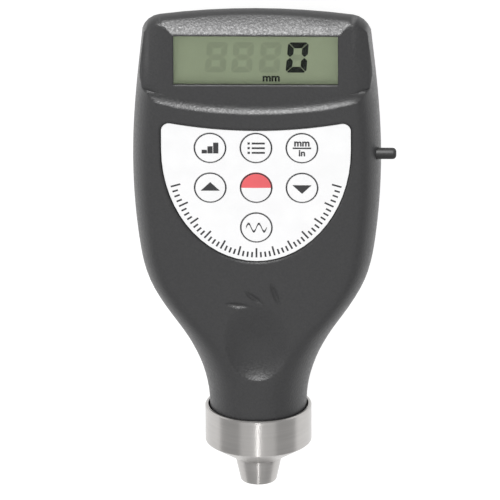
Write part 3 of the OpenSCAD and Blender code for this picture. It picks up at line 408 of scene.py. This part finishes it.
def dressed(node):
    """A smooth copy of a CAD node in its finish."""
    mesh = frame["nodes"][node].data.copy()
    bm = bmesh.new()
    bm.from_mesh(mesh)
    bmesh.ops.remove_doubles(bm, verts=bm.verts, dist=MERGE_DISTANCE)
    bmesh.ops.dissolve_degenerate(bm, edges=bm.edges, dist=SLIVER_LENGTH)
    bmesh.ops.dissolve_limit(bm, angle_limit=FLAT_ANGLE, verts=bm.verts, edges=bm.edges)
    bm.to_mesh(mesh)
    bm.free()
    mesh.shade_smooth()
    mesh.set_sharp_from_angle(angle=SMOOTH_ANGLE)
    mesh.materials.clear()
    mesh.materials.append(FINISH[slot_of[node]])
    piece = bpy.data.objects.new(node + "_dressed", mesh)
    scene.collection.objects.link(piece)
    even = piece.modifiers.new("even_normals", "WEIGHTED_NORMAL")
    even.keep_sharp = True
    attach(piece, body_of[node])
    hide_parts(node)
    return piece


pieces = {node: dressed(node) for node in slot_of}
print("dressed:", len(pieces), "solids")

# %% [markdown]
# A photographer lights polished steel and clear lenses apart from dark plastic, with flags and
# cards. Modelled cards would stand in the way of other views, and light linking does the same
# unseen: the box beyond the display falls on the case's front and the plug, so it never glares on
# the keypad or the lens, the left one stays off the steel and the lens, and the strip is for the
# steel.


# %% Light links
def link_light(light, nodes, state):
    """Lets a light fall on some nodes' pieces alone (INCLUDE), or keeps it off them (EXCLUDE)."""
    listed = bpy.data.collections.new(light.name + "_link")
    for node in nodes:
        listed.objects.link(pieces[node])
    for row in listed.collection_objects:
        row.light_linking.link_state = state
    light.light_linking.receiver_collection = listed


link_light(beyond_box, ["front_housing", "jack_plug"], "INCLUDE")
link_light(left_box, ["collar", "probe_sleeve", "display_window"], "EXCLUDE")
link_light(strip, ["collar", "probe_sleeve"], "INCLUDE")
print("light links: three boxes")

# %% [markdown]
# Print is a film of ink on a face. A material could draw it, but a sign of any shape needs many
# nodes that way, and its edges blur when it is baked. So everything printed is drawn flat, in
# millimetres round its own middle, and laid as one thin piece just over the face that carries it.

# %% Laying print
PRINT_LIFT = Vector((0, 0, 0.012)) * MM


def face_of(node):
    """Middle of a node's upper face, in metres."""
    low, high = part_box(node)
    return Vector(((low.x + high.x) / 2, (low.y + high.y) / 2, high.z))


def printed(name, bm, place, material, carrier):
    """One thin piece of print, placed over a carrier node and moving with it."""
    bmesh.ops.recalc_face_normals(bm, faces=bm.faces)
    bmesh.ops.scale(bm, vec=(MM, MM, MM), verts=bm.verts)
    bmesh.ops.translate(bm, vec=place, verts=bm.verts)
    for face in bm.faces:
        if face.normal.z < 0:
            face.normal_flip()
    mesh = bpy.data.meshes.new(name)
    bm.to_mesh(mesh)
    bm.free()
    mesh.materials.append(material)
    piece = bpy.data.objects.new(name, mesh)
    scene.collection.objects.link(piece)
    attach(piece, body_of[carrier])
    return piece


print("print: on keys whose faces are at %.2f mm" % (face_of("key_power").z / MM))

# %% [markdown]
# Each key has a thin dark ring round its edge. A flat ring would hang past the key's chamfer, so
# three rims are bridged, and the ring bends down over the chamfer with them.

# %% Key rings
KEY_RIMS = ((3.87, -0.096), (3.95, -0.1), (4.14, -0.242))
RING_SEGMENTS = 64


def ring(bm, rims):
    """A ring round the origin through rims, each a radius and a height."""
    loops = []
    for radius, z in rims:
        made = bmesh.ops.create_circle(bm, segments=RING_SEGMENTS, radius=radius,
                                       matrix=Matrix.Translation((0, 0, z)))
        loops.append(list({edge for vert in made["verts"] for edge in vert.link_edges}))
    for inner, outer in zip(loops, loops[1:]):
        bmesh.ops.bridge_loops(bm, edges=inner + outer)


keys = [node for node in slot_of if node.startswith("key_")]
for node in keys:
    bm = bmesh.new()
    ring(bm, KEY_RIMS)
    printed(node + "_ring", bm, face_of(node) + PRINT_LIFT, ink_and_painted_shade, node)
print("keys:", len(keys), "rings")

# %% [markdown]
# A sign on each key says what it does. The key for calibrating shows a step block, which is what
# such gauges are set by, and the key for selecting shows a list. Both could be cut out of one
# sheet, but they are only bars, and a grid of one face, stretched and moved, is a bar.

# %% Step block and list
STEP_HEIGHTS = (1.0, 2.0, 3.0)
STEP_WIDTH, STEP_PITCH, STEP_BASE = 1.35, 1.5, -1.5
LIST_ROWS = (1.3, 0, -1.3)
LIST_DOT, LIST_DOT_X = 0.6, -1.9
LIST_LINE, LIST_LINE_X, LIST_LINE_WIDTH = 3.4, 0.6, 0.5


def bar(bm, centre, length, width, angle=0.0):
    """A rectangle, turned by an angle in degrees."""
    turn = Matrix.Rotation(math.radians(angle), 4, "Z")
    size = Matrix.Diagonal((length, width, 1, 1))
    bmesh.ops.create_grid(bm, x_segments=1, y_segments=1, size=0.5,
                          matrix=Matrix.Translation((*centre, 0)) @ turn @ size)


def sign(node, bm):
    """Lays a drawing on its key."""
    printed(node + "_sign", bm, face_of(node) + PRINT_LIFT, ink_and_painted_shade, node)


bm = bmesh.new()
for step, height in zip((-1, 0, 1), STEP_HEIGHTS):
    bar(bm, (STEP_PITCH * step, STEP_BASE + height / 2), STEP_WIDTH, height)
sign("key_calibrate", bm)
bm = bmesh.new()
for y in LIST_ROWS:
    bar(bm, (LIST_DOT_X, y), LIST_DOT, LIST_DOT)
    bar(bm, (LIST_LINE_X, y), LIST_LINE, LIST_LINE_WIDTH)
sign("key_select", bm)
print("signs: a block of", len(STEP_HEIGHTS), "steps and a list of", len(LIST_ROWS), "rows")

# %% [markdown]
# The keys for up and down have arrow heads. Three points and a face would make one, but a capped
# circle of three points is the same in one call, and a negative height turns it over.

# %% Arrows
ARROW_WIDTH, ARROW_HEIGHT = 5, 2.4


def triangle(bm, width, height, way):
    """A triangle that points up with way 1 and down with way -1."""
    radius = 2 / 3
    base = 2 * radius * math.sin(math.radians(60))
    size = Matrix.Diagonal((width / base, way * height, 1, 1))
    bmesh.ops.create_circle(bm, cap_ends=True, segments=3, radius=radius, matrix=size)


for node, way in (("key_up", 1), ("key_down", -1)):
    bm = bmesh.new()
    triangle(bm, ARROW_WIDTH, ARROW_HEIGHT, way)
    sign(node, bm)
print("signs: arrows %.1f mm wide" % ARROW_WIDTH)

# %% [markdown]
# The key for the speed of sound shows a wave. A curve with a bevel would do, but it has to be made
# a mesh again. A flat strip of many faces, with each point raised by a sine, is one already.

# %% Wave
WAVE_LENGTH, WAVE_HEIGHT, WAVE_WIDTH = 5.4, 2.2, 0.6
WAVE_STEPS = 48


def wave(bm, length, height, width):
    """Two periods of a sine curve."""
    line = bmesh.ops.create_grid(bm, x_segments=WAVE_STEPS, y_segments=1, size=0.5,
                                 matrix=Matrix.Diagonal((length, width, 1, 1)))
    for vert in line["verts"]:
        vert.co.y += height / 2 * math.sin(4 * math.pi * vert.co.x / length)


bm = bmesh.new()
wave(bm, WAVE_LENGTH, WAVE_HEIGHT, WAVE_WIDTH)
sign("key_velocity", bm)
print("signs: a wave of", WAVE_STEPS, "steps")

# %% [markdown]
# The key for the units shows both, one over the other, with a line between. Letters could be
# built from bars, but Blender's own font has better curves. A text is made a mesh, centred and
# joined to the drawing, and the text object is removed.

# %% Units
UNIT_BOLD = 0.08
UPPER_UNIT_SIZE, UPPER_UNIT_AT = 2.7, (0, 1.2)
LOWER_UNIT_SIZE, LOWER_UNIT_AT = 2.5, (0, -1.35)
UNIT_LINE, UNIT_LINE_WIDTH = 4.8, 0.4


def words(bm, text, size, centre, bold):
    """Words as faces round a centre, their strokes grown by bold."""
    curve = bpy.data.curves.new(text, "FONT")
    curve.body = text
    curve.size = size
    curve.offset = bold
    writer = bpy.data.objects.new(text, curve)
    scene.collection.objects.link(writer)
    bpy.context.view_layer.update()
    letters = writer.evaluated_get(bpy.context.evaluated_depsgraph_get()).to_mesh().copy()
    corners = [[pick(v.co[i] for v in letters.vertices) for i in (0, 1)] for pick in (min, max)]
    middle = (Vector(corners[0]) + Vector(corners[1])) / 2
    letters.transform(Matrix.Translation((*(Vector(centre) - middle), 0)))
    bm.from_mesh(letters)
    bpy.data.objects.remove(writer)
    bpy.data.meshes.remove(letters)


bm = bmesh.new()
words(bm, "mm", UPPER_UNIT_SIZE, UPPER_UNIT_AT, UNIT_BOLD)
bar(bm, (0, 0), UNIT_LINE, UNIT_LINE_WIDTH)
words(bm, "in", LOWER_UNIT_SIZE, LOWER_UNIT_AT, UNIT_BOLD)
print("signs: two units of", len(bm.faces), "faces")
sign("key_unit", bm)

# %% [markdown]
# Along the keypad's lower edge runs a plain scale. Its ticks could be turned about one point, but
# the edge is half an ellipse, and they would stand askew. At the angle t, the direction out of an
# ellipse is (cos t / a, sin t / b), and a tick laid along it stands square to the edge.

# %% Scale on the keypad
OVERLAY_CURVE = 31
SCALE_INSET = 1.0
SCALE_FROM, SCALE_TO, SCALE_TICKS = 20, 160, 49
LONG_TICK, SHORT_TICK, TICK_WIDTH = 2.6, 1.5, 0.48
LONG_EVERY = 4

overlay_low, overlay_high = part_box("keypad_overlay")
semi_x = (overlay_high.x - overlay_low.x) / 2 / MM - SCALE_INSET
semi_y = OVERLAY_CURVE - SCALE_INSET
bm = bmesh.new()
for i in range(SCALE_TICKS):
    t = math.radians(SCALE_FROM + (SCALE_TO - SCALE_FROM) * i / (SCALE_TICKS - 1))
    length = SHORT_TICK if i % LONG_EVERY else LONG_TICK
    outward = Vector((math.cos(t) / semi_x, -math.sin(t) / semi_y)).normalized()
    end = Vector((semi_x * math.cos(t), -semi_y * math.sin(t)))
    angle = math.degrees(math.atan2(outward.y, outward.x))
    bar(bm, end - outward * length / 2, length, TICK_WIDTH, angle)
middle = Vector((0, overlay_low.y + OVERLAY_CURVE * MM, overlay_high.z))
printed("keypad_scale", bm, middle + PRINT_LIFT, ink_and_painted_shade, "keypad_overlay")
print("scale:", SCALE_TICKS, "ticks")

# %% [markdown]
# Seven bars make a digit of the display. Plain rectangles would overlap at the corners, and on
# the real glass the bars meet in mitres with a thin gap between them. Three outlines are enough:
# a level bar at the top, an upright one at the upper right, and the middle one. Mirroring across
# and down gives the rest.

# %% Bars of a digit
DIGIT_WIDTH, DIGIT_HEIGHT = 5.4, 8.4
DIGIT_BAR, DIGIT_GAP, DIGIT_CHAMFER = 1.62, 0.1, 0.6

w, h = DIGIT_WIDTH / 2, DIGIT_HEIGHT / 2
t, g, c = DIGIT_BAR, DIGIT_GAP, DIGIT_CHAMFER
LEVEL_BAR = (
    (c - w, h), (w - c, h), (w - c / 2 - g, h - c / 2),
    (w - t - g, h - t), (t + g - w, h - t), (c / 2 + g - w, h - c / 2),
)
UPRIGHT_BAR = (
    (w, h - c), (w - c / 2, h - c / 2 - g), (w - t, h - t - g),
    (w - t, t / 2 + g), (w - t / 2, g), (w, t / 2 + g),
)
MIDDLE_BAR = (
    (t / 2 + g - w, 0), (t + g - w, t / 2), (w - t - g, t / 2),
    (w - t / 2 - g, 0), (w - t - g, -t / 2), (t + g - w, -t / 2),
)
SEGMENTS = {
    "a": (LEVEL_BAR, 1, 1),
    "b": (UPRIGHT_BAR, 1, 1),
    "c": (UPRIGHT_BAR, 1, -1),
    "d": (LEVEL_BAR, 1, -1),
    "e": (UPRIGHT_BAR, -1, -1),
    "f": (UPRIGHT_BAR, -1, 1),
    "g": (MIDDLE_BAR, 1, 1),
}
print("digit:", len(SEGMENTS), "bars")

# %% [markdown]
# The display shows a lit zero with its unit, and three unlit digits faintly beside it. A digit
# font could be used, but its bars can't be lit one by one. All digits lean a little to the right,
# so each corner is moved across by its height times a slope.

# %% Display digits
DIGIT_LEAN = math.radians(5)
DIGIT_Y = 122.0
UNLIT_AT = (-10.3, -3.4, 3.75)
ZERO_AT = 10.8
LCD_UNIT_SIZE, LCD_UNIT_AT, LCD_UNIT_BOLD = 3.0, (4.0, -5.9), 0.11


def digit(bm, at, lit):
    """The named bars of one digit, leaning to the right."""
    for name in lit:
        corners, side, end = SEGMENTS[name]
        points = [
            (at + side * x + math.tan(DIGIT_LEAN) * end * y, end * y, 0) for x, y in corners
        ]
        bm.faces.new([bm.verts.new(point) for point in points])


digits_at = Vector((0, DIGIT_Y * MM, face_of("lcd_panel").z)) + PRINT_LIFT
bm = bmesh.new()
for at in UNLIT_AT:
    digit(bm, at, "abcdefg")
digit(bm, ZERO_AT, "g")
printed("digits_unlit", bm, digits_at, lcd_ghost, "lcd_panel")
bm = bmesh.new()
digit(bm, ZERO_AT, "abcdef")
words(bm, "mm", LCD_UNIT_SIZE, LCD_UNIT_AT, LCD_UNIT_BOLD)
printed("digits_lit", bm, digits_at, lcd_dark, "lcd_panel")
print("display: a zero and", len(UNLIT_AT), "unlit digits")

# %% [markdown]
# The case screws are seen from the back, deep in their holes. Their cross recesses could be cut
# into the heads, but at that depth only a dark cross of shade shows. So each head has two crossed
# dark bars of painted shade, which face down.

# %% Screw recesses
HEAD_RADIUS = 2.1
HIP_SCREW_X = 17
RECESS_LENGTH, RECESS_WIDTH = 2.4, 0.5
RECESS_ANGLES = (45, 135)

screws_low, screws_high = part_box("case_screws")
hip_y = screws_low.y / MM + HEAD_RADIUS
end_y = screws_high.y / MM - HEAD_RADIUS
end_x = screws_high.x / MM - HEAD_RADIUS
pairs_at = ((HIP_SCREW_X, hip_y), (end_x, end_y))
screws_at = [(side * x, y) for side in (-1, 1) for x, y in pairs_at]
bm = bmesh.new()
for centre in screws_at:
    for angle in RECESS_ANGLES:
        bar(bm, centre, RECESS_LENGTH, RECESS_WIDTH, angle)
heads_at = Vector((0, 0, screws_low.z))
# The crossed bars are painted shade: dark ink where the deep recesses would lie in shadow.
recess_shade = printed("screw_recess_shade", bm, heads_at - PRINT_LIFT, ink_and_painted_shade, "case_screws")
recess_shade.data.flip_normals()
print("screws:", len(screws_at), "recesses")
